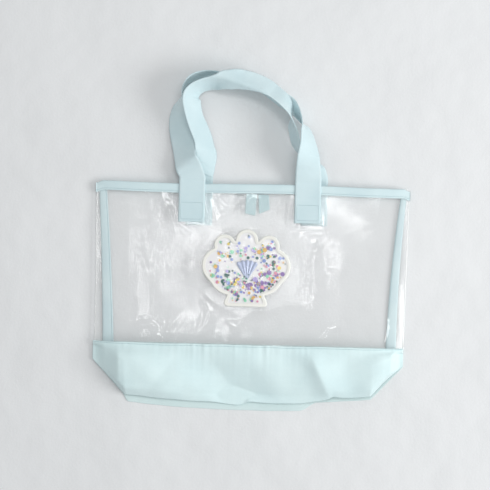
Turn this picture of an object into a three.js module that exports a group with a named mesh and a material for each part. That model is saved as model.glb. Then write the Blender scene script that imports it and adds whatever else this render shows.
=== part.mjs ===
// A clear vinyl beach tote with fabric trim, lying flat on its back: +X across the bag, +Y from the base
// towards the handles, +Z up. Millimetres. Lengths along the bag are first counted from the mouth (y = 0),
// and the last lines move the origin to the middle of the bag's footprint.
import * as THREE from "three";

// Driving dimensions
const BAG_WIDTH = 450; // across the side edges
const SEAM_Y = -232; // where the vinyl ends and the fabric skirt starts
const FRONT_BASE_Y = -315; // lowest point of the front skirt
const BACK_BASE_Y = -325; // lowest point of the layer beneath it
const CORNER_CUT = 48; // half the depth of the base, which shows as the cut corners
const BASE_BOW = 9; // how far the lower edge bows down between the corners
const CORNER_SLOPE = 1.06; // rise over run of a cut corner
const VINYL = 0.5; // thicknesses
const BINDING = 0.6;
const FABRIC = 1.0;
const WEBBING = 1.5;
const GAP = 0.3; // between neighbouring layers
const RIM_HEIGHT = 13.5;
const MOUTH_GAP = 7; // between the two rims
const GUSSET_TOP_Y = -252; // upper edge of the base where it is folded between the skirts
const STRAP_WIDTH = 37.5;
const TAB_LENGTH = 56; // how far a handle end is sewn down below the mouth
const TAB_X = [-87.5, 78.5]; // middles of the front handle's ends
const BACK_TAB_X = [-77, 88.5]; // and of the back handle's
const HINGE_Y = 1; // the handles swing about this line, just past the mouth
const STRAP_START_Y = 4.5; // where the free part of a handle starts
const STEPS_ACROSS = 28; // sections across the bag
const VINYL_OVERLAP = 8; // the vinyl runs on this far below the skirt's upper edge

// Heights of the layers above the surface that the bag lies on
const BACK_MOUTH_Z = WEBBING + GAP + BINDING + GAP; // underside of the back vinyl at the mouth
const BACK_SEAM_Z = FABRIC + GAP; // and at the skirt seam
const RIM_LAYER = GAP + BINDING; // what a rim adds to each side of the vinyl
const SIDE_Z = BACK_MOUTH_Z + VINYL + RIM_LAYER * 2 + GAP; // underside of the front vinyl at the side edges
const FRONT_MOUTH_Z = BACK_MOUTH_Z + VINYL + RIM_LAYER * 2 + MOUTH_GAP;
const EDGE_FULLNESS = 1.6; // slack between the front skirt and the folded base beneath it
const FRONT_SEAM_Z = 22; // underside of the front vinyl at the skirt seam, in the middle of the bag
const HALF = BAG_WIDTH / 2;

const bag = new THREE.Group();

const colours = {
  vinyl: { color: 0xe4ebec, roughness: 0.08, metalness: 0, transparent: true, opacity: 0.35 },
  fabric: { color: 0xcfe6e7, roughness: 0.75, metalness: 0 },
  webbing: { color: 0xd6ecee, roughness: 0.7, metalness: 0 },
  binding: { color: 0xc6dfe0, roughness: 0.7, metalness: 0 },
  patchWhite: { color: 0xf4f0e4, roughness: 0.5, metalness: 0 },
  charm: { color: 0xaebbe0, roughness: 0.3, metalness: 0 },
  confetti: [0x2f8f7a, 0xd9a23a, 0x8e6fc0, 0xc4b4e6, 0x7f8fd8, 0xf0a8b8, 0xa7dcc6, 0xf2df7a],
};

function add(parent, name, geometry, look) {
  const piece = new THREE.Mesh(geometry, new THREE.MeshStandardMaterial(look));
  piece.name = name;
  parent.add(piece);
  return piece;
}

// A closed solid through a row of closed sections, each a loop of the same number of Vector3.
function loft(sections) {
  const size = sections[0].length;
  const positions = [];
  const indices = [];
  for (const section of sections) {
    for (const p of section) {
      positions.push(p.x, p.y, p.z);
    }
  }
  for (let i = 0; i + 1 < sections.length; i += 1) {
    for (let j = 0; j < size; j += 1) {
      const a = i * size + j;
      const b = i * size + ((j + 1) % size);
      indices.push(a, b, b + size, a, b + size, a + size);
    }
  }
  const last = (sections.length - 1) * size;
  for (let j = 0; j < size / 2 - 1; j += 1) { // each end is a strip between the loop's two halves
    const near = [j, j + 1, size - 2 - j, size - 1 - j];
    const far = near.map((index) => index + last);
    indices.push(near[0], near[2], near[1], near[0], near[3], near[2]);
    indices.push(far[0], far[1], far[2], far[0], far[2], far[3]);
  }
  const geometry = new THREE.BufferGeometry();
  geometry.setAttribute("position", new THREE.Float32BufferAttribute(positions, 3));
  geometry.setIndex(indices);
  geometry.computeVertexNormals();
  return geometry;
}

// Numbers evenly spaced from one value to another, both included.
function spread(from, to, steps) {
  return Array.from({ length: steps + 1 }, (_, i) => from + ((to - from) * i) / steps);
}

// A loop in the plane of one x: out along the top line, and back along the bottom line.
function loopAt(x, ys, topZ, bottomZ) {
  const top = ys.map((y) => new THREE.Vector3(x, y, topZ(x, y)));
  const bottom = ys.map((y) => new THREE.Vector3(x, y, bottomZ(x, y))).reverse();
  return [...top, ...bottom];
}

// Underside of the back vinyl, which rises a little to the mouth, where the handle ends lie beneath it.
function backHeight(x, y) {
  return THREE.MathUtils.lerp(BACK_MOUTH_Z, BACK_SEAM_Z, THREE.MathUtils.clamp(y / SEAM_Y, 0, 1));
}

function aboveBack(x, y) {
  return backHeight(x, y) + VINYL;
}

// Underside of the front of the bag: low at the sides and the mouth, fuller towards the base.
function frontHeight(x, y) {
  const down = THREE.MathUtils.clamp(y / SEAM_Y, 0, 1);
  const middle = THREE.MathUtils.lerp(FRONT_MOUTH_Z, FRONT_SEAM_Z, down);
  const across = 1 - Math.abs(x / HALF) ** 6;
  return SIDE_Z + (middle - SIDE_Z) * Math.max(across, 0);
}

// Lower outline of a skirt whose lowest point is at lowY: a shallow curve between two cut corners.
function baseLine(x, lowY) {
  const cornerX = HALF - CORNER_CUT;
  const cornerY = lowY + BASE_BOW;
  const distance = Math.abs(x);
  if (distance > cornerX) {
    return cornerY + (distance - cornerX) * CORNER_SLOPE;
  }
  return lowY + BASE_BOW * (distance / cornerX) ** 2;
}

// Height of the front skirt's underside, which rounds down to the base at its lower edge.
function skirtHeight(x, y) {
  const bottomY = baseLine(x, FRONT_BASE_Y);
  const down = THREE.MathUtils.clamp((y - SEAM_Y) / (bottomY - SEAM_Y), 0, 1);
  const start = frontHeight(x, SEAM_Y) + VINYL + GAP;
  const end = aboveBack(x, bottomY) + GAP + FABRIC + GAP + EDGE_FULLNESS;
  return THREE.MathUtils.lerp(start, end, down ** 3);
}

const acrossBag = spread(-HALF, HALF, STEPS_ACROSS);

function makePanels() {
  const ys = spread(-GAP - BINDING, SEAM_Y - VINYL_OVERLAP, 12);
  const front = acrossBag.map((x) => loopAt(x, ys, (u, v) => frontHeight(u, v) + VINYL, frontHeight));
  add(bag, "front_panel", loft(front), colours.vinyl);
  const back = acrossBag.map((x) => loopAt(x, ys, aboveBack, backHeight));
  add(bag, "back_panel", loft(back), colours.vinyl);
}

// A channel that wraps the panel's upper edge, with the vinyl in its slot.
function rimLoop(x, height) {
  const inside = -GAP;
  const outside = VINYL + GAP;
  const profile = [
    [-RIM_HEIGHT, outside], [-BINDING, outside], [-BINDING, inside], [-RIM_HEIGHT, inside],
    [-RIM_HEIGHT, inside - BINDING], [0, inside - BINDING], [0, outside + BINDING],
    [-RIM_HEIGHT, outside + BINDING],
  ];
  return profile.map(([y, z]) => new THREE.Vector3(x, y, height(x, y) + z));
}

function makeRims() {
  for (const [name, height] of [["front", frontHeight], ["back", backHeight]]) {
    add(bag, `${name}_rim_binding`, loft(acrossBag.map((x) => rimLoop(x, height))), colours.binding);
  }
}

// Folded tape over the raw edges of the side seams, inside the bag. It leans inwards and widens towards
// the skirt, where the bag is fuller.
const TAPE_INSET = { top: 3, bottom: 14 };
const TAPE_WIDTH = { top: 9, bottom: 15 };

function makeSideBindings() {
  for (const [name, side] of [["left", -1], ["right", 1]]) {
    const ys = spread(-RIM_HEIGHT - 2, SEAM_Y - 6, 6);
    const sections = ys.map((y) => {
      const inset = THREE.MathUtils.lerp(TAPE_INSET.top, TAPE_INSET.bottom, y / SEAM_Y);
      const width = THREE.MathUtils.lerp(TAPE_WIDTH.top, TAPE_WIDTH.bottom, y / SEAM_Y);
      const xs = [side * (HALF - inset), side * (HALF - inset - width)];
      const [lowX, highX] = [Math.min(...xs), Math.max(...xs)];
      const low = aboveBack(lowX, y) + GAP;
      return [
        new THREE.Vector3(highX, y, low + BINDING * 2), new THREE.Vector3(lowX, y, low + BINDING * 2),
        new THREE.Vector3(lowX, y, low), new THREE.Vector3(highX, y, low),
      ];
    });
    add(bag, `${name}_side_binding`, loft(sections), colours.binding);
  }
}

function makeBase() {
  const front = acrossBag.map((x) => {
    const ys = spread(SEAM_Y + 2, baseLine(x, FRONT_BASE_Y), 10);
    return loopAt(x, ys, (u, v) => skirtHeight(u, v) + FABRIC, skirtHeight);
  });
  add(bag, "front_skirt", loft(front), colours.fabric);
  const back = acrossBag.map((x) => {
    const ys = spread(SEAM_Y + 2, baseLine(x, BACK_BASE_Y), 6);
    return loopAt(x, ys, () => FABRIC, () => 0);
  });
  add(bag, "back_skirt", loft(back), colours.fabric);
  // The bottom of the bag, folded flat between the skirts so that its fold lies along the lower edge.
  const gussetHalf = HALF - CORNER_CUT - 3;
  const gusset = spread(-gussetHalf, gussetHalf, 20).map((x) => {
    const ys = spread(GUSSET_TOP_Y, baseLine(x, FRONT_BASE_Y) - 2, 8);
    return loopAt(x, ys, (u, v) => aboveBack(u, v) + GAP + FABRIC, (u, v) => aboveBack(u, v) + GAP);
  });
  add(bag, "base_gusset", loft(gusset), colours.fabric);
}

// A flat sewn end of a handle. It lies outside the rim and the panel, with the free strap past its end.
function makeTabs() {
  const belowRim = -RIM_HEIGHT - GAP;
  const step = 4; // the tab comes down off the rim over this length
  const ys = [HINGE_Y, belowRim, belowRim - step, -TAB_LENGTH];
  const overRim = (x, y) => {
    const lift = RIM_LAYER * THREE.MathUtils.clamp(1 + (y - belowRim) / step, 0, 1);
    return frontHeight(x, y) + VINYL + GAP + lift;
  };
  for (const [k, side] of ["left", "right"].entries()) {
    const frontXs = spread(TAB_X[k] - STRAP_WIDTH / 2, TAB_X[k] + STRAP_WIDTH / 2, 4);
    const front = frontXs.map((x) => loopAt(x, ys, (u, v) => overRim(u, v) + WEBBING, overRim));
    add(bag, `front_handle_tab_${side}`, loft(front), colours.webbing);
    const backXs = spread(BACK_TAB_X[k] - STRAP_WIDTH / 2, BACK_TAB_X[k] + STRAP_WIDTH / 2, 4);
    const back = backXs.map((x) => loopAt(x, ys, () => WEBBING, () => 0));
    add(bag, `back_handle_tab_${side}`, loft(back), colours.webbing);
  }
}

// The handles are loops of webbing that lie past the mouth, each twisted on edge at the top of its arch.
// A station gives the place of the strap's fold line, x y z; the share of the width that lies outside that
// line; how steeply the outer and the inner part lean, in degrees, where 0 lies flat and 90 stands on edge
// with the inner edge up; and how much of its width the strap keeps where it is crumpled.
const BACK_STRAP_Z = WEBBING / 2; // middles of the webbing where the handles leave the bag
const FRONT_STRAP_Z = FRONT_MOUTH_Z + VINYL + RIM_LAYER + GAP + BACK_STRAP_Z;
const FRONT_HANDLE = [
  [-87.5, STRAP_START_Y, FRONT_STRAP_Z, 0.5, 0, 0, 1],
  [-87.5, 8.5, 15.5, 0.5, 1, 1, 1],
  [-91, 17, 18, 0.5, 6, 6, 1],
  [-94.5, 25, 21.5, 0.5, 16, 16, 1],
  [-98.2, 35, 22, 0.5, 32, 32, 1],
  [-99.8, 46, 17, 0.5, 29, 29, 1],
  [-102.5, 60, 13.5, 0.5, 25, 25, 1],
  [-106, 76, 12, 0.5, 27, 27, 1],
  [-108.5, 91, 13, 0.5, 38, 38, 1],
  [-109, 106, 16.5, 0.5, 56, 56, 1],
  [-106.5, 120, 19.5, 0.5, 82, 82, 1],
  [-100, 135, 19, 0.5, 104, 104, 1],
  [-90, 147, 18.5, 0.5, 110, 110, 1],
  [-76, 154, 18, 0.5, 106, 106, 0.95],
  [-60, 157, 17, 0.5, 99, 99, 0.85],
  [-43, 155.5, 16, 0.5, 92, 92, 0.8],
  [-23, 149, 14, 0.5, 92, 92, 0.7],
  [-3, 142, 13, 0.5, 100, 100, 0.64],
  [14, 134.5, 12, 0.5, 115, 115, 0.64],
  [28.5, 128, 10, 0.5, 135, 135, 0.64],
  [40, 122, 7.5, 0.5, 150, 150, 0.64],
  [49, 116.5, 8.5, 0.5, 144, 144, 0.65],
  [56, 108.5, 13, 0.5, 122, 122, 0.72],
  [62, 99.5, 17, 0.5, 104, 104, 0.85],
  [67, 90, 21.5, 0.5, 90, 90, 1],
  [72.5, 79, 28, 0.5, 67, 67, 1],
  [75.8, 65, 33.5, 0.5, 56, 56, 1],
  [77, 50.5, 36, 0.5, 42, 42, 1],
  [77.2, 41, 35.5, 0.5, 31, 31, 1],
  [77.6, 31, 30, 0.5, 24, 24, 1],
  [78.1, 19.5, 21, 0.5, 12, 12, 1],
  [78.5, 9, 16, 0.5, 2, 2, 1],
  [78.5, STRAP_START_Y, FRONT_STRAP_Z, 0.5, 0, 0, 1],
];
const BACK_HANDLE = [
  [-95.75, STRAP_START_Y, BACK_STRAP_Z, 0, 0, 0, 1],
  [-95.5, 10, 3.5, 0, -3, -3, 1],
  [-94, 18, 9, 0, -11, -11, 1],
  [-90, 27, 14, 0, -19, -19, 1],
  [-84.8, 35, 19, 0, -28, -28, 1],
  [-81, 41.5, 24, 0, -37, -37, 1],
  [-81.6, 48, 29, 0, -43, -43, 1],
  [-86, 60, 30, 0, -46, -46, 1],
  [-92.5, 76, 34, 0, -47, -47, 1],
  [-97.8, 91, 38, 0, -50, -50, 1],
  [-101.5, 105, 42, 0, -49, -49, 1],
  [-103.5, 118, 45, 0, -47, -47, 1],
  [-100.5, 130, 45, 0, -52, -52, 1],
  [-91.5, 139.5, 44, 0, -60, -60, 1],
  [-80, 145.5, 43, 0, -65, -65, 1],
  [-69, 149, 42.5, 0, -65, -65, 1],
  [-58, 150.7, 42.5, 0.08, -10, -62, 1],
  [-47, 150, 42.5, 0.28, 15, -54, 1],
  [-34, 146, 42, 0.5, 23, -50, 1],
  [-20, 142, 42, 0.66, 36, -53, 1],
  [-6, 137.3, 42, 0.8, 44, -50, 1],
  [9, 130.5, 43, 0.93, 51, -50, 1],
  [20, 123.5, 44.5, 1, 54, 54, 1],
  [31.5, 115, 47.5, 1, 56, 56, 1],
  [41, 106.5, 48.5, 1, 64, 64, 1],
  [48.5, 98.5, 47.5, 1, 82, 82, 1],
  [55.5, 87.5, 43, 1, 103, 103, 1],
  [60.5, 76.5, 40, 1, 107, 107, 1],
  [64, 63, 38, 1, 107, 107, 1],
  [65.5, 51, 37.8, 1, 99, 99, 1],
  [66, 41, 39, 1, 80, 80, 1],
  [66.8, 31.5, 30.5, 1, 50, 50, 1],
  [68.5, 20, 15.5, 1, 20, 20, 1],
  [69.75, 9, 4, 1, 3, 3, 1],
  [69.75, STRAP_START_Y, BACK_STRAP_Z, 1, 0, 0, 1],
];

const HANDLE_STEPS = 90; // sections along a handle

// Each section is a thin, slightly bent strip: its outer edge, its fold line and its inner edge, top and
// bottom. The share is kept off 0 and 1 so that the three stay apart.
function strapSections(stations, steps) {
  const line = new THREE.CatmullRomCurve3(stations.map(([x, y, z]) => new THREE.Vector3(x, y, z)));
  const leanPoints = stations.map(([, , , share, outer, inner]) => (
    new THREE.Vector3(outer, inner, share * 100)));
  const leans = new THREE.CatmullRomCurve3(leanPoints, false, "catmullrom", 0.3);
  const keepPoints = stations.map(([, , , , , , keep]) => new THREE.Vector3(keep, 0, 0));
  const keeps = new THREE.CatmullRomCurve3(keepPoints, false, "catmullrom", 0.3);
  return spread(0, 1, steps).map((t) => {
    const ridge = line.getPoint(t);
    const along = line.getTangent(t).setZ(0).normalize();
    const inward = new THREE.Vector3(along.y, -along.x, 0);
    const { x: outerLean, y: innerLean, z: percent } = leans.getPoint(t);
    const width = STRAP_WIDTH * keeps.getPoint(t).x;
    const lean = (degrees, up) => {
      const angle = THREE.MathUtils.degToRad(degrees);
      return inward.clone().multiplyScalar(up ? -Math.sin(angle) : Math.cos(angle))
        .setZ(up ? Math.cos(angle) : Math.sin(angle));
    };
    const share = THREE.MathUtils.clamp(percent / 100, 0.02, 0.98);
    const outerEdge = ridge.clone().addScaledVector(lean(outerLean, false), -width * share);
    const innerEdge = ridge.clone().addScaledVector(lean(innerLean, false), width * (1 - share));
    const outerUp = lean(outerLean, true);
    const innerUp = lean(innerLean, true);
    const middleUp = outerUp.clone().add(innerUp).normalize();
    const half = WEBBING / 2;
    const top = [
      outerEdge.clone().addScaledVector(outerUp, half),
      ridge.clone().addScaledVector(middleUp, half),
      innerEdge.clone().addScaledVector(innerUp, half),
    ];
    const bottom = [
      innerEdge.clone().addScaledVector(innerUp, -half),
      ridge.clone().addScaledVector(middleUp, -half),
      outerEdge.clone().addScaledVector(outerUp, -half),
    ];
    return [...top, ...bottom];
  });
}

function makeHandles() {
  add(bag, "front_handle", loft(strapSections(FRONT_HANDLE, HANDLE_STEPS)), colours.webbing);
  add(bag, "back_handle", loft(strapSections(BACK_HANDLE, HANDLE_STEPS)), colours.webbing);
}

// Two short ribbon ends inside the mouth that close the bag, one sewn under each rim.
function makeClosure() {
  const length = 28;
  const startY = -RIM_HEIGHT - GAP;
  const width = 15;
  const frontZ = FRONT_MOUTH_Z - GAP - BINDING;
  const backZ = BACK_MOUTH_Z + VINYL + GAP;
  for (const [name, x, z] of [["front", -2, frontZ - FABRIC], ["back", 15, backZ]]) {
    const box = new THREE.BoxGeometry(width, length, FABRIC);
    const tab = add(bag, `${name}_closure_tab`, box, colours.fabric);
    tab.position.set(x, startY - length / 2, z + FABRIC / 2);
  }
}

// The shell patch on the front panel: a sealed clear pocket with loose confetti. The right half of its
// outline is a row of arcs, from the top round to the foot, each [centre x, centre y, radius, first and last
// angle in degrees], seen from the middle of the patch.
const PATCH_X = -7; // middle of the patch
const PATCH_Y = -120;
const PATCH_ARCS = [
  [0, 39.5, 16, 90, -4],
  [31.5, 32, 15.5, 153, -17],
  [37.5, 3, 26, 70, -38],
  [22, -8, 31, -30, -82],
  [25.5, -49.5, 5.5, 15, -90],
];
const ARC_STEPS = 8;
const OUTLINE_POINTS = 400; // for measuring how near the outline is
const NEARLY = 0.15; // an inset point may be this much too near
const BORDER_WIDTH = 5;
const BACKING = 0.8;
const BORDER_HEIGHT = 2.6;
const WINDOW = 0.5;

// The patch's outline, moved inwards by a distance. Each point goes along its own inward normal, and is left
// out where that brings it too near another part of the outline, as in a tight arc.
function patchOutline(inset) {
  const half = PATCH_ARCS.flatMap(([x, y, radius, first, last]) => (
    spread(first, last, ARC_STEPS).map((degrees) => {
      const angle = THREE.MathUtils.degToRad(degrees);
      return new THREE.Vector2(x + radius * Math.cos(angle), y + radius * Math.sin(angle));
    })));
  const mirrored = half.slice(1).reverse().map((p) => new THREE.Vector2(-p.x, p.y));
  const points = [...half, ...mirrored].reverse();
  const closely = new THREE.Shape([...points, points[0]]).getSpacedPoints(OUTLINE_POINTS);
  const moved = points.map((p, i) => {
    const before = points[(i + points.length - 1) % points.length];
    const after = points[(i + 1) % points.length];
    const along = after.clone().sub(before).normalize();
    return new THREE.Vector2(p.x - along.y * inset, p.y + along.x * inset);
  });
  return moved.filter((p) => closely.every((q) => p.distanceTo(q) > inset - NEARLY));
}

// Moves a flat piece onto the front panel, its base a little above the vinyl.
function onPanel(geometry, lift) {
  const position = geometry.attributes.position;
  for (let i = 0; i < position.count; i += 1) {
    const x = position.getX(i) + PATCH_X;
    const y = position.getY(i) + PATCH_Y;
    position.setXYZ(i, x, y, position.getZ(i) + frontHeight(x, y) + VINYL + lift);
  }
  geometry.computeVertexNormals();
  return geometry;
}

function slab(shape, thickness) {
  return new THREE.ExtrudeGeometry(shape, { depth: thickness, bevelEnabled: false, curveSegments: 10 });
}

// The parts of the patch lie on each other: backing, border ring, and a clear window on top.
const CAVITY_FLOOR = GAP + BACKING + GAP;

function makePocket() {
  const backing = new THREE.Shape(patchOutline(0));
  add(bag, "patch_backing", onPanel(slab(backing, BACKING), GAP), colours.patchWhite);
  const ring = new THREE.Shape(patchOutline(0));
  ring.holes.push(new THREE.Path(patchOutline(BORDER_WIDTH)));
  add(bag, "patch_border", onPanel(slab(ring, BORDER_HEIGHT), CAVITY_FLOOR), colours.patchWhite);
  const film = new THREE.Shape(patchOutline(BORDER_WIDTH * 0.4));
  add(bag, "patch_window", onPanel(slab(film, WINDOW), CAVITY_FLOOR + BORDER_HEIGHT + GAP), colours.vinyl);
}

// A small pleated fan in the middle of the pocket, with one bump of its outline for each pleat.
const FAN_FOOT = new THREE.Vector2(1, -18); // from the middle of the patch
const FAN_LENGTH = 28;
const FAN_BUMP = 4;
const FAN_SPREAD = 66; // degrees
const PLEATS = 5;
const CHARM_THICKNESS = 0.8;

function makeCharm() {
  const rim = (pleat, length) => {
    const angle = THREE.MathUtils.degToRad(90 + FAN_SPREAD * (pleat / PLEATS - 0.5));
    return [FAN_FOOT.x + Math.cos(angle) * length, FAN_FOOT.y + Math.sin(angle) * length];
  };
  const fan = new THREE.Shape();
  fan.moveTo(FAN_FOOT.x, FAN_FOOT.y);
  fan.lineTo(...rim(0, FAN_LENGTH));
  for (let pleat = 0; pleat < PLEATS; pleat += 1) {
    fan.quadraticCurveTo(...rim(pleat + 0.5, FAN_LENGTH + FAN_BUMP), ...rim(pleat + 1, FAN_LENGTH));
  }
  fan.closePath();
  add(bag, "fan_charm", onPanel(slab(fan, CHARM_THICKNESS), CAVITY_FLOOR + GAP), colours.charm);
}

// The larger sequins, spread on a wide spiral round the fan.
const SEQUINS = 24;
const SPIRAL = { start: 23, growth: 6, stretch: 16 };
const SEQUIN_RADII = [1.9, 2.4, 2.9];
const SEQUIN_THICKNESS = 0.4;

function makeSequins() {
  const turn = Math.PI * (3 - Math.sqrt(5)); // the golden angle spreads them evenly
  for (let i = 0; i < SEQUINS; i += 1) {
    const distance = SPIRAL.start + SPIRAL.growth * Math.sqrt(i / SEQUINS);
    const wider = distance + SPIRAL.stretch * Math.abs(Math.cos(i * turn));
    const radius = SEQUIN_RADII[i % SEQUIN_RADII.length];
    const disc = new THREE.CylinderGeometry(radius, radius, SEQUIN_THICKNESS, 12).rotateX(Math.PI / 2);
    disc.translate(wider * Math.cos(i * turn), distance * Math.sin(i * turn), SEQUIN_THICKNESS / 2);
    const look = { color: colours.confetti[i % colours.confetti.length], roughness: 0.3, metalness: 0.2 };
    const name = `sequin_${String(i + 1).padStart(2, "0")}`;
    add(bag, name, onPanel(disc, CAVITY_FLOOR + GAP), look);
  }
}

makePanels();
makeRims();
makeSideBindings();
makeBase();
makeTabs();
makeHandles();
makeClosure();
makePocket();
makeCharm();
makeSequins();

// The origin goes under the middle of the bag's footprint, on the surface that it lies on.
const extent = new THREE.Box3().setFromObject(bag);
const middle = extent.getCenter(new THREE.Vector3());
bag.position.set(-middle.x, -middle.y, -extent.min.z);

export default bag;
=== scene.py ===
import functools
import random
from math import cos, dist, exp, hypot, pi, radians, sin, sqrt

import bpy
from mathutils import Matrix, Vector, noise
from mathutils.bvhtree import BVHTree


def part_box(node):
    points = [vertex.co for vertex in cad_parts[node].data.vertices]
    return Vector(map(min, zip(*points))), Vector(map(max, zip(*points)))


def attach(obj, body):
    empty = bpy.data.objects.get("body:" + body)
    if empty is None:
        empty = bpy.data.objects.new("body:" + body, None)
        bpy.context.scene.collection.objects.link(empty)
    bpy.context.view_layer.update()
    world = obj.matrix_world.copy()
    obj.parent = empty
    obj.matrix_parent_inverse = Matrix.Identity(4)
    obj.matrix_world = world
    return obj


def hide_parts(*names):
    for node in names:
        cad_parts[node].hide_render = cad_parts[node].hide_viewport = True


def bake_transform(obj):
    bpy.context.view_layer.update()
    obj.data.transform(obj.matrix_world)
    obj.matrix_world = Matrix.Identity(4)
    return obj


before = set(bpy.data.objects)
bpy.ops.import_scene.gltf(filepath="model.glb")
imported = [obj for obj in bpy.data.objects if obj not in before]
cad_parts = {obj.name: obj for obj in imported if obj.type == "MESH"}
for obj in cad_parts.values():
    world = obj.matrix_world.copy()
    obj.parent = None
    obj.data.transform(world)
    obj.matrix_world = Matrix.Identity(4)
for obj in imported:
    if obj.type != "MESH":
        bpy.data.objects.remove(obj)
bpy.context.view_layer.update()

# A clear beach tote with fabric trim, lying flat on its back.
# Builders below count in "bag millimetres": x across the bag, y from the mouth (y = 0) with the base at
# negative y, z up from the surface that the bag lies on. place() turns them into the frame's metres.
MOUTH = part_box("front_rim_binding")[1].y
HALF_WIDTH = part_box("front_rim_binding")[1].x * 1000
SEAM_Y = (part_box("front_skirt")[1].y - MOUTH) * 1000  # where the skirt overlaps the vinyl
RIM_HEIGHT = 13.5
STRAP_WIDTH = 37.5
STRAP_THICK = 1.5
FRONT_SEWN = (56, 54)  # lengths of a handle's left and right sewn ends
BACK_SEWN = (60, 57)
UP = (0, 0, 1)


def place(point):
    """A point in bag millimetres as a place in the frame."""
    x, y, z = point
    return Vector((x / 1000, y / 1000 + MOUTH, z / 1000))


def lerp(a, b, t):
    """The value a share t of the way from a to b."""
    return a + (b - a) * t


def clamp(value, low=0.0, high=1.0):
    """The value, kept between low and high."""
    return max(low, min(high, value))


def smooth(t):
    """Rises from 0 to 1 as t does, with level ends."""
    t = clamp(t)
    return t * t * (3 - 2 * t)


def spread(start, end, steps):
    """Evenly spaced values from start to end, with both of them."""
    return [lerp(start, end, i / steps) for i in range(steps + 1)]


def wobble(x, y, size, seed=0):
    """Smooth noise, about -1 to 1, that changes over the given size in millimetres."""
    return noise.noise(Vector((x / size, y / size, seed * 7.3)))


def middle_of(node):
    """Middle of a CAD node across the bag."""
    low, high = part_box(node)
    return (low.x + high.x) * 500


def height_over(node, downwards=True):
    """A function that gives the height of a CAD node's upper or lower face over a place on the bag."""
    tree = BVHTree.FromObject(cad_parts[node], bpy.context.evaluated_depsgraph_get())
    low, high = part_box(node)
    inside = 1e-4  # metres from the node's own edge, so that every ray meets it

    def height(x, y):
        start = place((x, y, 0))
        start.x = clamp(start.x, low.x + inside, high.x - inside)
        start.y = clamp(start.y, low.y + inside, high.y - inside)
        start.z = 1.0 if downwards else -1.0
        hit = tree.ray_cast(start, Vector((0, 0, -1 if downwards else 1)))[0]
        return (hit.z if hit else high.z) * 1000

    return height


# ---------- meshes


def make_object(name, points, faces, material, uvs=None, smooth_shading=True):
    """A mesh object from points in bag millimetres. uvs gives each point's place on its cloth, in mm."""
    mesh = bpy.data.meshes.new(name)
    mesh.from_pydata([place(p) for p in points], [], faces)
    if uvs:
        layer = mesh.uv_layers.new(name="cloth")
        for loop in mesh.loops:
            u, v = uvs[loop.vertex_index]
            layer.data[loop.index].uv = (u / 1000, v / 1000)
    mesh.polygons.foreach_set("use_smooth", [smooth_shading] * len(mesh.polygons))
    mesh.materials.append(material)
    piece = bpy.data.objects.new(name, mesh)
    bpy.context.scene.collection.objects.link(piece)
    return piece


def belongs(piece, body, slot, *nodes):
    """Puts a piece on the body that it rides on, and hides the CAD nodes that it stands for. Its slot is not
    used.
    """
    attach(piece, body)
    if nodes:
        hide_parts(*nodes)


def grid_faces(rows, columns, closed=False):
    """Quads between rows of points. closed joins each row's last point to its first."""
    faces = []
    for i in range(rows - 1):
        for j in range(columns if closed else columns - 1):
            a = i * columns + j
            b = i * columns + (j + 1) % columns
            faces.append((a, b, b + columns, a + columns))
    return faces


def tube_faces(rows, sides, first=0, turned_end=1):
    """Quads round a tube of rings of points numbered from first, and a face over each of its ends.
    turned_end is the end whose ring is taken backwards: 1 for the last ring, 0 for the first."""
    ends = [list(range(sides)), list(range((rows - 1) * sides, rows * sides))]
    ends[turned_end].reverse()
    return [tuple(first + i for i in face) for face in grid_faces(rows, sides, closed=True) + ends]


def thicken(piece, thickness, rounded):
    """Gives a sheet its thickness, in millimetres, downwards from its face, with softened edges."""
    solid = piece.modifiers.new("thickness", "SOLIDIFY")
    solid.thickness = thickness / 1000
    solid.offset = -1
    if rounded:
        edge = piece.modifiers.new("edge", "BEVEL")
        edge.width = thickness / 2500
        edge.segments = 2
        edge.limit_method = "ANGLE"
        edge.angle_limit = radians(50)
    graph = bpy.context.evaluated_depsgraph_get()
    mesh = bpy.data.meshes.new_from_object(piece.evaluated_get(graph))
    piece.modifiers.clear()
    piece.data = mesh


def sheet_rows(surface, steps, depth_steps, start=-1):
    """Rows of points surface(s, depth), with s from start to 1 and depth from 0 to 1."""
    depths = spread(0, 1, depth_steps)
    return [[surface(s, depth) for depth in depths] for s in spread(start, 1, steps)]


def make_sheet(node, rows, material, slot, thickness, body="bag", rounded=True):
    """A thick sheet in the place of a node, from rows of points over its upper face."""
    points = [p for row in rows for p in row]
    uvs = [(p[0], p[1]) for p in points]
    piece = make_object(node + "_visual", points, grid_faces(len(rows), len(rows[0])), material, uvs)
    if sum(f.normal.z for f in piece.data.polygons) < 0:
        piece.data.flip_normals()
    thicken(piece, thickness, rounded)
    belongs(piece, body, slot, node)
    return piece


STITCH_SIDES = 6
STITCH_SHARES = (0.0, 0.18, 0.5, 0.82, 1.0)  # places along a stitch where it has a ring of points


def stitch_rings(start, end, normal, width):
    """Points of one stitch: a bead that stands off the cloth and dips into it at both ends."""
    along = (end - start).normalized()
    up = Vector(normal).normalized()
    side = along.cross(up).normalized()
    points = []
    for share in STITCH_SHARES:
        bulge = sqrt(max(0.08, sin(pi * share)))
        middle = start.lerp(end, share) + up * (0.12 * bulge - 0.1)
        for k in range(STITCH_SIDES):
            angle = 2 * pi * k / STITCH_SIDES
            ring = side * cos(angle) + up * sin(angle) * 0.8
            points.append(middle + ring * width / 2 * bulge)
    return points


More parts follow.
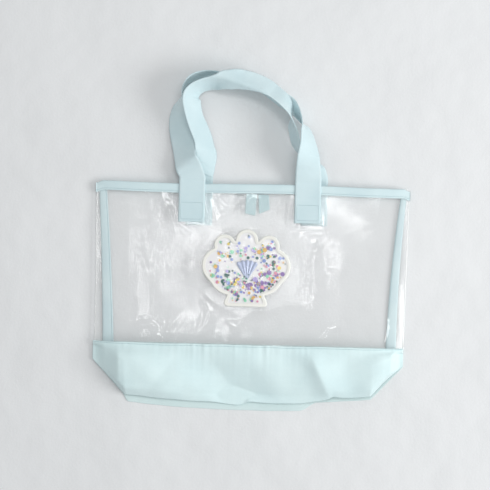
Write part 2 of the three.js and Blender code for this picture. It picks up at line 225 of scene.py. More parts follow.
def sew(name, rows, material, length, gap, width, rides=True):
    """Stitches along rows of (point, normal), which ride on the bag unless rides is false."""
    points, faces = [], []
    for row in rows:
        travelled = 0.0
        start = None
        for (a, normal), (b, _) in zip(row, row[1:]):
            a, b = Vector(a), Vector(b)
            if start is None:
                start = a
            travelled += (b - a).length
            if travelled < length:
                continue
            faces += tube_faces(len(STITCH_SHARES), STITCH_SIDES, len(points), turned_end=0)
            points += stitch_rings(start, b, normal, width)
            start = None
            travelled = -gap
    seam = make_object(name, points, faces, material)
    if rides:
        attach(seam, "bag")
    return seam


def row_between(corners, normal):
    """A closely stepped row of (point, normal) along straight runs between corners."""
    step = 0.7
    row = []
    for a, b in zip(corners, corners[1:]):
        a, b = Vector(a), Vector(b)
        count = max(1, round((b - a).length / step))
        row += [(a.lerp(b, i / count), normal) for i in range(count)]
    return row + [(Vector(corners[-1]), normal)]


# ---------- materials


def srgb(red, green, blue):
    """A linear colour from 0-255 sRGB values."""
    def linear(value):
        value /= 255
        return value / 12.92 if value <= 0.04045 else ((value + 0.055) / 1.055) ** 2.4
    return (linear(red), linear(green), linear(blue), 1.0)


class Nodes:
    """Short calls for a material's node tree."""

    def __init__(self, name):
        self.material = bpy.data.materials.new(name)
        self.material.use_nodes = True
        self.tree = self.material.node_tree
        self.tree.nodes.clear()

    def add(self, kind, **settings):
        """A shader node. A setting is one of its inputs, with _ for a space, or one of its properties."""
        node = self.tree.nodes.new("ShaderNode" + kind)
        for key, value in settings.items():
            input_name = key.replace("_", " ")
            if input_name in node.inputs:
                node.inputs[input_name].default_value = value
            else:
                setattr(node, key, value)
        return node

    def join(self, source, target, output=0, key=0):
        """Links an output of one node to an input of another, and gives back the second node."""
        self.tree.links.new(source.outputs[output], target.inputs[key])
        return target

    def noise(self, where, output="Object", **settings):
        """A noise texture over some coordinates."""
        return self.join(where, self.add("TexNoise", **settings), output=output, key="Vector")

    def ranged(self, source, **limits):
        """A value, mapped from its own limits to others."""
        return self.join(source, self.add("MapRange", **limits), key="Value")

    def bump(self, pattern, strength, distance, over=None):
        """Relief from a pattern, on its own or over another relief."""
        relief = self.join(pattern, self.add("Bump", Strength=strength, Distance=distance), key="Height")
        if over:
            self.join(over, relief, key="Normal")
        return relief

    def mix_shaders(self, amount, first, second):
        """Two shaders, mixed by an amount of the second."""
        mixed = self.join(amount, self.add("MixShader"))
        self.join(first, mixed, key=1)
        return self.join(second, mixed, key=2)

    def finish(self, shader):
        """The finished material."""
        self.join(shader, self.add("OutputMaterial"), key="Surface")
        return self.material


def crossing_threads(n, where, grain, pitch):
    """The pattern of plain weave: bands one way times bands the other way."""
    band_pitch = 0.314  # distance between a wave texture's bands at a scale of 1
    crossing = n.add("Math", operation="MULTIPLY")
    for key, direction in enumerate(("X", "Y")):
        threads = n.add("TexWave", wave_type="BANDS", bands_direction=direction,
                        Scale=band_pitch / (pitch / 1000), Distortion=0.35, Detail=1.0, Detail_Scale=0.6)
        n.join(where, threads, output=grain, key="Vector")
        n.join(threads, crossing, output="Fac", key=key)
    return crossing


def fabric(name, colour, dark, pitch, weave, grain="UV"):
    """Plain-woven cloth with faint mottling between two colours. pitch is the threads', in millimetres."""
    n = Nodes(name)
    where = n.add("TexCoord")
    crossing = crossing_threads(n, where, grain, pitch)
    cloud = n.noise(where, grain, Scale=16.0, Detail=3.0, Roughness=0.5)
    shade = n.add("Mix", data_type="RGBA", A=srgb(*dark), B=srgb(*colour))
    n.join(n.ranged(cloud, From_Min=0.3, From_Max=0.62), shade)
    threadwise = n.add("Mix", data_type="RGBA", blend_type="MULTIPLY", Factor=0.22)
    n.join(shade, threadwise, output="Result", key="A")
    n.join(n.ranged(crossing, To_Min=0.72), threadwise, key="B")
    soft = n.noise(where, grain, Scale=160.0, Detail=3.0)
    rumple = n.bump(soft, 0.12, 0.0009, over=n.bump(crossing, weave, 0.0004))
    cloth = n.add("BsdfPrincipled", Roughness=0.82, Sheen_Weight=0.3, Sheen_Roughness=0.5,
                  Specular_IOR_Level=0.25)
    n.join(threadwise, cloth, output="Result", key="Base Color")
    n.join(rumple, cloth, key="Normal")
    return n.finish(cloth)


def sewing_thread(name, colour, dark):
    """Fine twisted thread."""
    return fabric(name, colour, dark, pitch=0.3, weave=0.2, grain="Object")


def clear_vinyl(name, gloss, haze=0.08, ripple=0.12):
    """Clear film: nearly all light passes, with a slight haze, fine emboss and a glossy surface.
    gloss is the share of light that it mirrors straight on."""
    n = Nodes(name)
    where = n.add("TexCoord")
    fine = n.noise(where, Scale=700.0, Detail=2.0)
    broad = n.noise(where, Scale=18.0, Detail=2.0, Distortion=0.6)
    relief = n.bump(broad, ripple, 0.004, over=n.bump(fine, 0.16, 0.0003))
    through = n.add("BsdfTransparent", Color=WHITE)
    milk = n.join(relief, n.add("BsdfDiffuse", Color=srgb(252, 254, 253)), key="Normal")
    body = n.mix_shaders(n.ranged(fine, To_Min=haze * 0.5, To_Max=haze * 1.5), through, milk)
    shine = n.join(relief, n.add("BsdfGlossy", Roughness=0.1, Color=WHITE), key="Normal")
    # A thin film mirrors alike from both sides: a little straight on, and all at a grazing angle.
    facing = n.join(relief, n.add("LayerWeight", Blend=0.5), key="Normal")
    grazing = n.join(facing, n.add("Math", operation="POWER"), output="Facing")
    grazing.inputs[1].default_value = 5
    return n.finish(n.mix_shaders(n.ranged(grazing, To_Min=gloss), body, shine))


def foil(name, colour, rough=0.38, metal=0.12):
    """Lightly metallic film with an uneven sparkle."""
    n = Nodes(name)
    sparkle = n.noise(n.add("TexCoord"), Scale=420.0, Detail=2.0)
    dull = srgb(*colour)
    light = tuple(min(1.0, c * 1.35 + 0.05) for c in dull[:3]) + (1.0,)
    tone = n.join(sparkle, n.add("Mix", data_type="RGBA", A=dull, B=light))
    flake = n.add("BsdfPrincipled", Roughness=rough, Metallic=metal, Coat_Weight=0.1)
    n.join(tone, flake, output="Result", key="Base Color")
    n.join(n.bump(sparkle, 0.35, 0.0006), flake, key="Normal")
    return n.finish(flake)


def floor_cloth():
    """The pale, almost smooth backdrop under the bag."""
    n = Nodes("floor")
    where = n.add("TexCoord")
    weave = n.bump(n.noise(where, Scale=260.0, Detail=4.0), 0.3, 0.001)
    creases = n.bump(n.noise(where, Scale=7.0, Detail=3.0), 0.3, 0.03, over=weave)
    cloth = n.add("BsdfPrincipled", Roughness=0.9, Base_Color=srgb(229, 231, 232))
    n.join(creases, cloth, key="Normal")
    return n.finish(cloth)


WHITE = (1, 1, 1, 1)
AQUA = fabric("aqua_cloth", (228, 249, 250), (220, 243, 245), pitch=0.9, weave=0.35)
STRAP_CLOTH = fabric("aqua_strap", (217, 237, 241), (206, 229, 234), pitch=0.8, weave=0.3)
TAPE_CLOTH = fabric("aqua_tape", (220, 240, 243), (210, 232, 237), pitch=0.7, weave=0.3)
# A darker copy of the aqua cloth: painted shade for the back skirt and the gusset, which lie under the front
# skirt.
SHADED_CLOTH = fabric("aqua_cloth_painted_shade", (222, 241, 241), (214, 235, 235), pitch=0.9, weave=0.3)
RIBBON = fabric("closure_ribbon", (204, 229, 232), (190, 217, 221), pitch=0.6, weave=0.4)
CREAM = fabric("white_border", (249, 249, 243), (243, 243, 236), pitch=1.4, weave=0.12, grain="Object")
PEARL = fabric("pearl_backing", (250, 250, 249), (243, 243, 245), pitch=2.0, weave=0.06, grain="Object")
THREAD = sewing_thread("thread", (244, 252, 252), (234, 247, 248))
SEAM_THREAD = sewing_thread("seam_thread", (176, 204, 209), (166, 196, 202))
DARK_THREAD = sewing_thread("dark_thread", (158, 190, 196), (146, 180, 187))
VINYL = clear_vinyl("clear_vinyl", gloss=0.05)
# Milky white film for the beads along the film's side edges: a painted highlight where the film folds round.
PAINTED_EDGE_HIGHLIGHT = clear_vinyl("vinyl_weld", gloss=0.06, haze=0.75, ripple=0.2)
WINDOW = clear_vinyl("patch_film", gloss=0.02, haze=0.015, ripple=0.3)
FLOOR = floor_cloth()
CHARM = foil("charm_film", (168, 178, 202), rough=0.32, metal=0.2)
CONFETTI_COLOURS = {
    "green": (48, 96, 92),
    "gold": (206, 166, 92),
    "purple": (128, 104, 160),
    "lilac": (172, 160, 208),
    "periwinkle": (130, 148, 198),
    "pink": (204, 138, 160),
    "mint": (134, 200, 168),
    "yellow": (214, 196, 104),
}
CONFETTI = {name: foil("confetti_" + name, colour) for name, colour in CONFETTI_COLOURS.items()}

# ---------- the clear vinyl shell


PATCH_X = middle_of("patch_backing")
PATCH_Y = -120
PATCH_REACH = (72, 62)  # half width and half height of the place that the patch keeps flat
TAB_LEFT_X = middle_of("front_handle_tab_left")
TAB_RIGHT_X = middle_of("front_handle_tab_right")
front_under = height_over("front_panel", downwards=False)
back_over = height_over("back_panel")


# Creases in the soft film: each a run of places (x, y) with its half width and height.
CREASES = [
    ([(-134, -10), (-118, -48), (-110, -76), (-66, -128)], 5.0, 2.0),
    ([(-62, -26), (-50, -54), (-27, -46), (0, -18)], 5.0, 2.0),
    ([(-116, -30), (-118, -50), (-98, -72), (-84, -74)], 4.4, 1.6),
    ([(-48, -24), (-44, -38), (-30, -34)], 3.4, 1.3),
    ([(54, -20), (50, -50), (60, -76)], 4.4, 1.7),
    ([(-155, -88), (-148, -104), (-141, -128)], 4.5, 0.9),
    ([(-172, -222), (-160, -206), (-140, -203), (-132, -218)], 4.0, 1.7),
    ([(-120, -228), (-116, -208), (-108, -198)], 3.6, 0.9),
    ([(104, -228), (112, -208), (127, -200)], 2.8, 0.9),
    ([(78, -60), (88, -110), (96, -170)], 9.0, 1.6),
    ([(-70, -226), (-58, -190), (-66, -150)], 7.0, 1.0),
    ([(-30, -228), (-22, -206), (-34, -190)], 3.0, 0.8),
    ([(190, -226), (196, -200), (194, -176)], 2.6, 0.8),
]


def distance_to_run(x, y, run):
    """Distance to a run of straight pieces, and how far along it the nearest place is, from 0 to 1."""
    best = (1e9, 0.0)
    here = Vector((x, y))
    for i, (a, b) in enumerate(zip(run, run[1:])):
        a, b = Vector(a), Vector(b)
        share = clamp((here - a).dot(b - a) / (b - a).length_squared)
        best = min(best, ((here - a.lerp(b, share)).length, (i + share) / (len(run) - 1)))
    return best


def crease_height(x, y):
    """How far the creases lift the film at a place: each is a rounded fold with crumpled sides."""
    total = 0.0
    for run, half_width, height in CREASES:
        low_x, high_x = min(p[0] for p in run), max(p[0] for p in run)
        low_y, high_y = min(p[1] for p in run), max(p[1] for p in run)
        margin = 3 * half_width
        if not (low_x - margin < x < high_x + margin and low_y - margin < y < high_y + margin):
            continue
        bent = (x + 1.6 * wobble(x, y, 9, 21), y + 1.6 * wobble(x, y, 9, 22))
        distance, along = distance_to_run(*bent, run)
        fade = sin(pi * clamp(along, 0.04, 0.96)) ** 0.6
        fold = exp(-(distance / half_width) ** 2)
        crumple = 1.2 / half_width * wobble(x, y, 6, 25) * exp(-(distance / (3 * half_width)) ** 2)
        total += 1.25 * height * fade * (fold + crumple)
    return total


def ripple_in_vinyl(x, y):
    """How far the soft film stands off its even shape: long undulations, small ones, and its creases.
    It lies flat at its edges, and under the patch and the sewn handle ends, which stiffen it."""
    slack = 1.3 * wobble(x + 0.5 * y, y * 0.6, 70, 1) + 0.2 * wobble(x, y, 26, 2)
    loose = smooth((HALF_WIDTH - abs(x)) / 14) * smooth(-y / 18) * smooth((y + 240) / 12)
    from_patch = hypot((x - PATCH_X) / PATCH_REACH[0], (y - PATCH_Y) / PATCH_REACH[1]) - 1
    loose *= smooth(from_patch * 4)
    for tab_x in (TAB_LEFT_X, TAB_RIGHT_X):
        loose *= smooth(max(abs(x - tab_x) - STRAP_WIDTH / 2, -y - FRONT_SEWN[0]) / 8)
    return (slack + crease_height(x, y)) * loose


def vinyl_edge(y):
    """Half width of the film, which narrows a little from the mouth to the skirt."""
    return HALF_WIDTH + lerp(0.6, -2.2, clamp(-y / 232)) + 0.6 * wobble(0, y, 40, 3)


def make_vinyl():
    """One shell for the front and back panels: over the front, round the side fold, and back beneath."""
    ys = spread(-1.0, SEAM_Y - 6, 170)
    shares = spread(-1, 1, 230)
    under_shares = spread(-1, 1, 24)
    fold_steps = 7
    fold_radius = 2.5
    points = []
    for y in ys:
        half = vinyl_edge(y) - fold_radius
        over = [(s * half, y, front_under(s * half, y) + 0.3 + ripple_in_vinyl(s * half, y)) for s in shares]
        under = [(s * half, y, back_over(s * half, y)) for s in under_shares]
        turn = []
        for k in range(1, fold_steps):
            angle = pi / 2 - pi * k / fold_steps
            z = lerp(under[-1][2], over[-1][2], (sin(angle) + 1) / 2)
            turn.append((half + fold_radius * cos(angle), y, z))
        points += over + turn + under[::-1] + [(-x, yy, z) for x, yy, z in turn[::-1]]
    columns = len(points) // len(ys)
    shell = make_object("vinyl_shell", points, grid_faces(len(ys), columns, closed=True), VINYL)
    belongs(shell, "bag", "clear_vinyl", "front_panel", "back_panel")


def tube(name, path, radius, material):
    """A round bead along a path of points in bag millimetres that runs along the bag."""
    sides = 8
    points = []
    for x, y, z in path:
        for k in range(sides):
            angle = 2 * pi * k / sides
            points.append((x + radius * cos(angle), y, z + radius * sin(angle)))
    return make_object(name, points, tube_faces(len(path), sides), material)


def make_painted_edge_highlights():
    """A milky white bead along each side edge of the film: a painted highlight for the light caught where
    the film folds round.
    """
    for name, side in (("left", -1), ("right", 1)):
        path = []
        for y in spread(-4, SEAM_Y - 2, 120):
            x = side * (vinyl_edge(y) - 1.6 + 0.25 * wobble(0, y, 6, 23))
            z = (front_under(x, y) + back_over(x, y)) / 2 + 1.2
            path.append((x, y, z))
        # Each bead is a painted highlight along the folded edge.
        belongs(tube(name + "_weld", path, 0.55, PAINTED_EDGE_HIGHLIGHT), "bag", "clear_vinyl")


make_vinyl()
make_painted_edge_highlights()


# ---------- rim and side bindings


def rim_sway(x):
    """The mouth isn't quite straight: it waves a little, and its ends turn down."""
    end = smooth((abs(x) - HALF_WIDTH + 10) / 10)
    return 0.9 * sin(x / 48 + 0.6) + 0.5 * wobble(x, 0, 30, 4) - 3.5 * end


def make_rim(node, height, fullness):
    """Folded tape over the vinyl's edge: a raised band with a stitched groove near its lower edge."""
    xs = spread(-HALF_WIDTH - 0.8, HALF_WIDTH + 0.8, 260)
    low = -RIM_HEIGHT
    groove = low + 2.6
    # Once round the band's section, as (place from the mouth, height), starting at its lower edge.
    profile = [
        (low, 0.25), (low + 0.4, 0.85), (low + 1.5, 1.05), (groove, 0.6), (low + 3.8, 1.15),
        (low + 6.5, 1.35), (-4.5, 1.4), (-2.2, 1.3), (-0.8, 0.9), (0, 0.0), (-0.8, -0.8), (-2.2, -1.0),
        (-6.5, -1.0), (low + 1.5, -0.9), (low + 0.3, -0.8), (low, -0.4),
    ]
    points, uvs, thread = [], [], []
    for x in xs:
        sway = rim_sway(x)
        base = height(x, 0) + 0.25
        plump = 1 + 0.18 * wobble(x, 9, 13, 5)
        for k, (y, z) in enumerate(profile):
            up = z * plump * fullness if z > 0 else z * 0.8
            follow = height(x, y) - height(x, 0)
            points.append((x, y + sway, base + follow + up))
            uvs.append((x, y + k * 0.05))
        lower = height(x, groove) - height(x, 0)
        thread.append(((x, groove + sway, base + lower + 0.75 * plump), UP))
    rim = make_object(node + "_visual", points, tube_faces(len(xs), len(profile)), TAPE_CLOTH, uvs)
    belongs(rim, "bag", "binding", node)
    sew(node + "_visual_thread", [thread], SEAM_THREAD, length=2.2, gap=1.8, width=0.6)


make_rim("front_rim_binding", front_under, 1.0)
make_rim("back_rim_binding", lambda x, y: back_over(x, y) - 0.5, 0.8)


def make_side_tape(side):
    """The folded tape over the seam allowance inside the bag, seen through the film."""
    node = "left_side_binding" if side < 0 else "right_side_binding"
    stitch_line = 0.875  # share of the tape's width, from its outer edge
    rows, thread = [], []
    for y in spread(-9, SEAM_Y - 4, 90):
        row = []
        share = clamp(y / SEAM_Y)
        inset = lerp(3, 14, share) + 1.2 * sin(pi * share) * (1 if side < 0 else 2.2)
        width = lerp(8, 15, share ** 0.8) if side > 0 else lerp(11, 16, share)
        outer, inner = HALF_WIDTH - inset, HALF_WIDTH - inset - width
        for s in spread(0, 1, 8):
            x = side * lerp(outer, inner, s)
            crown = 1.0 * sin(pi * s) ** 0.5 if 0 < s < 1 else 0
            groove = 0.35 if abs(s - stitch_line) < 0.01 else 0
            row.append((x, y, back_over(x, y) + 0.5 + crown - groove + 0.25 * wobble(x, y, 17, 6)))
        rows.append(row)
        x = side * lerp(outer, inner, stitch_line)
        thread.append(((x, y, back_over(side * inner, y) + 1.35), UP))
    make_sheet(node, rows, TAPE_CLOTH, "binding", 0.4, rounded=False)
    sew(node + "_thread", [thread], SEAM_THREAD, length=2.4, gap=1.8, width=0.6)


for side in (-1, 1):
    make_side_tape(side)


# ---------- the fabric bottom

skirt_over = height_over("front_skirt")
CORNER_CUT = 48  # width of each cut corner
BASE_BULGE = 9  # how far the base line's middle hangs below its two corners
FRONT_BASE_Y = (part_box("front_skirt")[0].y - MOUTH) * 1000
BACK_BASE_Y = (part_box("back_skirt")[0].y - MOUTH) * 1000


def base_line(x, low_y):
    """Lower outline of a skirt: a shallow curve between the two cut corners."""
    corner_x = HALF_WIDTH - CORNER_CUT
    distance = abs(x)
    if distance > corner_x:
        return low_y + BASE_BULGE + (distance - corner_x) * 1.06
    return low_y + BASE_BULGE * (distance / corner_x) ** 2


def slope(across, left, right):
    """A ridge profile, 1 at its crest, that falls off over its own width on each side."""
    width = left if across < 0 else right
    return exp(-abs(across / width) ** 1.5)


def skirt_folds(x, y, depth):
    """Soft folds of the front skirt. depth runs from 0 at the seam to 1 at the lower edge."""
    middle = smooth((x + 110) / 40) * smooth((120 - x) / 40)
    gathers = 0.9 * wobble(x, 0, 5.5, 7) + 0.6 * wobble(x, 4, 11, 24)
    pucker = (0.5 + middle) * gathers * exp(-depth * 4.5)
    valley_x = lerp(-76, -7, depth ** 0.9)
    valley = -13.0 * slope(x - valley_x, 58, 58) * smooth(depth * 1.8)
    ridge_x = lerp(84, 118, depth)
    ridge = 10.0 * slope(x - ridge_x, 14, 22) * smooth(depth * 2.6) * (1 - 0.3 * depth)
    shoulder = 11.0 * slope(x + 186, 12, 95) * smooth(depth * 3)
    far_end = 7.0 * smooth((x - 135) / 60) * smooth(depth * 3)
    tuck = -2.0 * slope(x - lerp(-92, -150, depth), 16, 16) * smooth(depth * 2)
    slack = 2.4 * wobble(x, y * 1.3, 58, 8) + 0.9 * wobble(x, y, 24, 9)
    fade = smooth(depth * 5) * smooth((1.04 - depth) * 5)
    return pucker + (valley + ridge + shoulder + far_end + tuck + slack) * fade


def make_front_skirt():
    """The front of the fabric bottom, with its folds. Its ends are closed against the back."""
    half = HALF_WIDTH - 0.5
    lowest = 4.6  # lowest height of its face, over the gusset and the back skirt

    def surface(s, depth):
        x = s * half
        pulled_up = 5.5 * smooth((x - 70) / 60) * smooth((HALF_WIDTH - x) / 30)
        notches = 3.5 * slope(x - 122, 6, 12) + 2.5 * slope(x - 1, 5, 22) - 2.0 * slope(x + 12, 30, 7)
        low = base_line(x, FRONT_BASE_Y) + 0.8 + pulled_up + notches + 1.2 * wobble(x, 3, 35, 10)
        y = lerp(SEAM_Y + 0.8 * wobble(x, 1, 25, 11), low, depth)
        z = skirt_over(x, max(y, base_line(x, FRONT_BASE_Y) + 0.2)) + skirt_folds(x, y, depth)
        closed = smooth((abs(x) - HALF_WIDTH + 20) / 16) * smooth((depth - 0.08) * 5)
        hem = 1.2 * exp(-depth * 30)
        return (x - 3.0 * smooth((x - 150) / 70), y, lerp(max(z + hem, lowest), lowest, closed))

    rows = sheet_rows(lambda s, depth: surface(s, depth ** 0.85), 240, 46)
    skirt = make_sheet("front_skirt", rows, AQUA, "fabric", 1.0)
    row = []
    for x in spread(-HALF_WIDTH + 3, HALF_WIDTH - 3, 600):
        _, y, z = surface(x / half, 0.03)
        row.append(((x, y, z + 0.1), UP))
    sew("front_skirt_thread", [row], SEAM_THREAD, length=2.4, gap=2.0, width=0.7)


def make_back_skirt():
    """The back of the fabric bottom, flat on the table and hidden by the front but for its lower edge."""
    def surface(s, depth):
        x = s * (HALF_WIDTH - 3)
        hidden = 11 * smooth((x - 75) / 25) + 9 * smooth((-x - 172) / 8)
        low = base_line(x, BACK_BASE_Y) + hidden + 0.8 * wobble(x, 5, 30, 12)
        return (x, lerp(SEAM_Y, low, depth), 1.0 + 0.25 * wobble(x, depth * 90, 20, 13))

    # Its darker cloth is painted shade.
    skirt = make_sheet("back_skirt", sheet_rows(surface, 160, 24), SHADED_CLOTH, "fabric", 0.9)


def make_gusset():
    """The bottom of the bag, folded flat between the skirts."""
    def surface(s, depth):
        x = s * (HALF_WIDTH - CORNER_CUT - 2)
        low = base_line(x, FRONT_BASE_Y) + BASE_BULGE
        y = lerp(SEAM_Y - 20, low, depth)
        z = 2.6 + 0.4 * sin(pi * depth) + 0.3 * wobble(x, y, 24, 14)
        return (x, y, z)

    # Its darker cloth is painted shade.
    gusset = make_sheet("base_gusset", sheet_rows(surface, 140, 26), SHADED_CLOTH, "fabric", 1.0)


make_front_skirt()
make_back_skirt()
make_gusset()


# ---------- the handles
# Each handle is one strap: sewn down on the bag at both ends, and lying past the mouth in a loop. Its free
# part follows the same stations as the CAD: the fold line's x, y, z; the share of the width outside that
# line; the lean of the outer and the inner part, in degrees; and the width kept where it is crumpled.
BACK_STRAP_Z = STRAP_THICK / 2
FRONT_STRAP_Z = 14.45
STRAP_START_Y = 4.5
BEND_LENGTH = 16  # a length past the mouth; the strap is not made to bend over it
ACROSS = 18  # points across a strap
ON_STRAP = STRAP_THICK * 0.52  # height of the stitching over a strap's middle
FRONT_HANDLE = [
    (-87.5, STRAP_START_Y, FRONT_STRAP_Z, 0.5, 0, 0, 1),
    (-87.5, 8.5, 15.5, 0.5, 1, 1, 1),
    (-91, 17, 18, 0.5, 6, 6, 1),
    (-94.5, 25, 21.5, 0.5, 16, 16, 1),
    (-98.2, 35, 22, 0.5, 32, 32, 1),
    (-99.8, 46, 17, 0.5, 29, 29, 1),
    (-102.5, 60, 13.5, 0.5, 25, 25, 1),
    (-106, 76, 12, 0.5, 27, 27, 1),
    (-108.5, 91, 13, 0.5, 38, 38, 1),
    (-109, 106, 16.5, 0.5, 56, 56, 1),
    (-106.5, 120, 19.5, 0.5, 82, 82, 1),
    (-100, 135, 19, 0.5, 104, 104, 1),
    (-90, 147, 18.5, 0.5, 110, 110, 1),
    (-76, 154, 18, 0.5, 106, 106, 0.95),
    (-60, 157, 17, 0.5, 99, 99, 0.85),
    (-43, 155.5, 16, 0.5, 92, 92, 0.8),
    (-23, 149, 14, 0.5, 92, 92, 0.7),
    (-3, 142, 13, 0.5, 100, 100, 0.64),
    (14, 134.5, 12, 0.5, 115, 115, 0.64),
    (28.5, 128, 10, 0.5, 135, 135, 0.64),
    (40, 122, 7.5, 0.5, 150, 150, 0.64),
    (49, 116.5, 8.5, 0.5, 144, 144, 0.65),
    (56, 108.5, 13, 0.5, 122, 122, 0.72),
    (62, 99.5, 17, 0.5, 104, 104, 0.85),
    (67, 90, 21.5, 0.5, 90, 90, 1),
    (72.5, 79, 28, 0.5, 67, 67, 1),
    (75.8, 65, 33.5, 0.5, 56, 56, 1),
    (77, 50.5, 36, 0.5, 42, 42, 1),
    (77.2, 41, 35.5, 0.5, 31, 31, 1),
    (77.6, 31, 30, 0.5, 24, 24, 1),
    (78.1, 19.5, 21, 0.5, 12, 12, 1),
    (78.5, 9, 16, 0.5, 2, 2, 1),
    (78.5, STRAP_START_Y, FRONT_STRAP_Z, 0.5, 0, 0, 1),
]
BACK_HANDLE = [
    (-95.75, STRAP_START_Y, BACK_STRAP_Z, 0, 0, 0, 1),
    (-95.5, 10, 3.5, 0, -3, -3, 1),
    (-94, 18, 9, 0, -11, -11, 1),
    (-90, 27, 14, 0, -19, -19, 1),
    (-86, 35, 19, 0, -28, -28, 1),
    (-83.3, 41.5, 24, 0, -37, -37, 1),
    (-84, 48, 29, 0, -43, -43, 1),
    (-86, 60, 30, 0, -46, -46, 1),
    (-92.5, 76, 34, 0, -47, -47, 1),
    (-97.8, 91, 38, 0, -50, -50, 1),
    (-101.5, 105, 42, 0, -49, -49, 1),
    (-103.5, 118, 45, 0, -47, -47, 1),
    (-100.5, 130, 45, 0, -52, -52, 1),
    (-91.5, 139.5, 44, 0, -60, -60, 1),
    (-80, 145.5, 43, 0, -65, -65, 1),
    (-69, 149, 42.5, 0, -65, -65, 1),
    (-58, 150.7, 42.5, 0.08, -10, -62, 1),
    (-47, 150, 42.5, 0.28, 15, -54, 1),
    (-34, 146, 42, 0.5, 23, -50, 1),
    (-20, 142, 42, 0.66, 36, -53, 1),
    (-6, 137.3, 42, 0.8, 44, -50, 1),
    (9, 130.5, 43, 0.93, 51, -50, 1),
    (20, 123.5, 44.5, 1, 54, 54, 1),
    (31.5, 115, 47.5, 1, 56, 56, 1),
    (41, 106.5, 48.5, 1, 64, 64, 1),
    (48.5, 98.5, 47.5, 1, 82, 82, 1),
    (55.5, 87.5, 43, 1, 103, 103, 1),
    (60.5, 76.5, 40, 1, 107, 107, 1),
    (64, 63, 38, 1, 107, 107, 1),
    (65.5, 51, 37.8, 1, 99, 99, 1),
    (66, 41, 39, 1, 80, 80, 1),
    (66.8, 31.5, 30.5, 1, 50, 50, 1),
    (68.5, 20, 15.5, 1, 20, 20, 1),
    (69.75, 9, 4, 1, 3, 3, 1),
    (69.75, STRAP_START_Y, BACK_STRAP_Z, 1, 0, 0, 1),
]


def along_stations(stations, index, share, tension):
    """Value of a station column at a place between stations: a cubic through them, eased by tension."""
    before = stations[max(index - 1, 0)]
    start = stations[index]
    end = stations[index + 1]
    after = stations[min(index + 2, len(stations) - 1)]
    s2, s3 = share * share, share ** 3
    values = []
    for p0, p1, p2, p3 in zip(before, start, end, after):
        leave, arrive = (p2 - p0) * tension, (p3 - p1) * tension
        values.append((2 * s3 - 3 * s2 + 1) * p1 + (s3 - 2 * s2 + share) * leave
                      + (3 * s2 - 2 * s3) * p2 + (s3 - s2) * arrive)
    return values


def strap_line(stations):
    """Closely stepped stations, with smooth places and gently eased leans."""
    line = []
    for index in range(len(stations) - 1):
        a, b = stations[index], stations[index + 1]
        steps = max(2, round(dist(a[:3], b[:3]) / 2.2))
        for k in range(steps):
            spot = along_stations(stations, index, k / steps, 0.5)
            ease = along_stations(stations, index, k / steps, 0.33)
            line.append(spot[:3] + ease[3:])
    return line + [list(stations[-1])]


def section(station, along):
    """The strap's middle line across its width, as (point, up) from the outer to the inner edge."""
    x, y, z, share, outer_lean, inner_lean, keep = station
    inward = Vector((along.y, -along.x, 0)).normalized()
    width = STRAP_WIDTH * keep
    soft = 0.22  # share of the width over which one lean turns into the other

    def direction(s):
        turn = smooth((s - share) / soft + 0.5)
        return radians(lerp(outer_lean, inner_lean, turn))

    offsets = spread(0, 1, ACROSS - 1)
    path = [Vector((0, 0, 0))]
    for a, b in zip(offsets, offsets[1:]):
        angle = direction((a + b) / 2)
        path.append(path[-1] + (inward * cos(angle) + Vector((0, 0, sin(angle)))) * width * (b - a))
    at_ridge = clamp(share) * (ACROSS - 1)
    low = min(int(at_ridge), ACROSS - 2)
    ridge = path[low].lerp(path[low + 1], at_ridge - low)
    result = []
    for s, p in zip(offsets, path):
        angle = direction(s)
        up = inward * -sin(angle) + Vector((0, 0, cos(angle)))
        result.append((Vector((x, y, z)) + p - ridge, up))
    return result


def sewn_end(x, length, height):
    """Rows of a strap's sewn end, from its folded tip to the mouth: (middle point, up) across the width."""
    rows = []
    for y in spread(-length, 2.5, 30):
        row = []
        for s in spread(-0.5, 0.5, ACROSS - 1):
            at = x + s * STRAP_WIDTH
            row.append((Vector((at, y, height(at, y))), Vector(UP)))
        rows.append(row)
    return rows


def wrap(rows):
    """The strap's surface round its middle rows: rounded edges, with a raised hem near each edge where its
    stitching runs.
    """
    points, uvs = [], []
    travelled = 0.0
    for i, row in enumerate(rows):
        if i:
            travelled += (row[ACROSS // 2][0] - rows[i - 1][ACROSS // 2][0]).length
        top, bottom = [], []
        for j, (p, up) in enumerate(row):
            s = j / (ACROSS - 1)
            edge = min(s, 1 - s)
            plump = sqrt(clamp(edge / 0.035 + 0.15)) + 0.22 * exp(-((edge - 0.06) / 0.035) ** 2)
            puff = 1 + 0.12 * wobble(travelled, s * 60, 16, 15)
            half = STRAP_THICK / 2 * plump * puff
            top.append(p + up * half)
            bottom.append(p - up * half)
        points += top + bottom[::-1]
        across = [s * STRAP_WIDTH for s in spread(0, 1, ACROSS - 1)]
        uvs += [(u, travelled) for u in across] + [(u + 60, travelled) for u in across[::-1]]
    return points, tube_faces(len(rows), 2 * ACROSS), uvs


def strap_rows(stations, middles, lengths, sewn_height):
    """All rows of a strap from its left sewn tip, round the loop, to its right sewn tip."""
    line = strap_line(stations)
    last = len(line) - 1
    turning = 12  # rows over which the strap turns away from its sewn end
    rows = []
    for i, station in enumerate(line):
        a, b = line[max(i - 1, 0)], line[min(i + 1, last)]
        along = Vector((b[0] - a[0], b[1] - a[1], 0)).normalized()
        sewn_way = Vector((0, 1 if i < last / 2 else -1, 0))
        along = sewn_way.lerp(along, smooth(min(i, last - i) / turning))
        rows.append(section(station, along))
    left = sewn_end(middles[0], lengths[0], sewn_height)
    right = [row[::-1] for row in sewn_end(middles[1], lengths[1], sewn_height)[::-1]]
    return left + rows + right


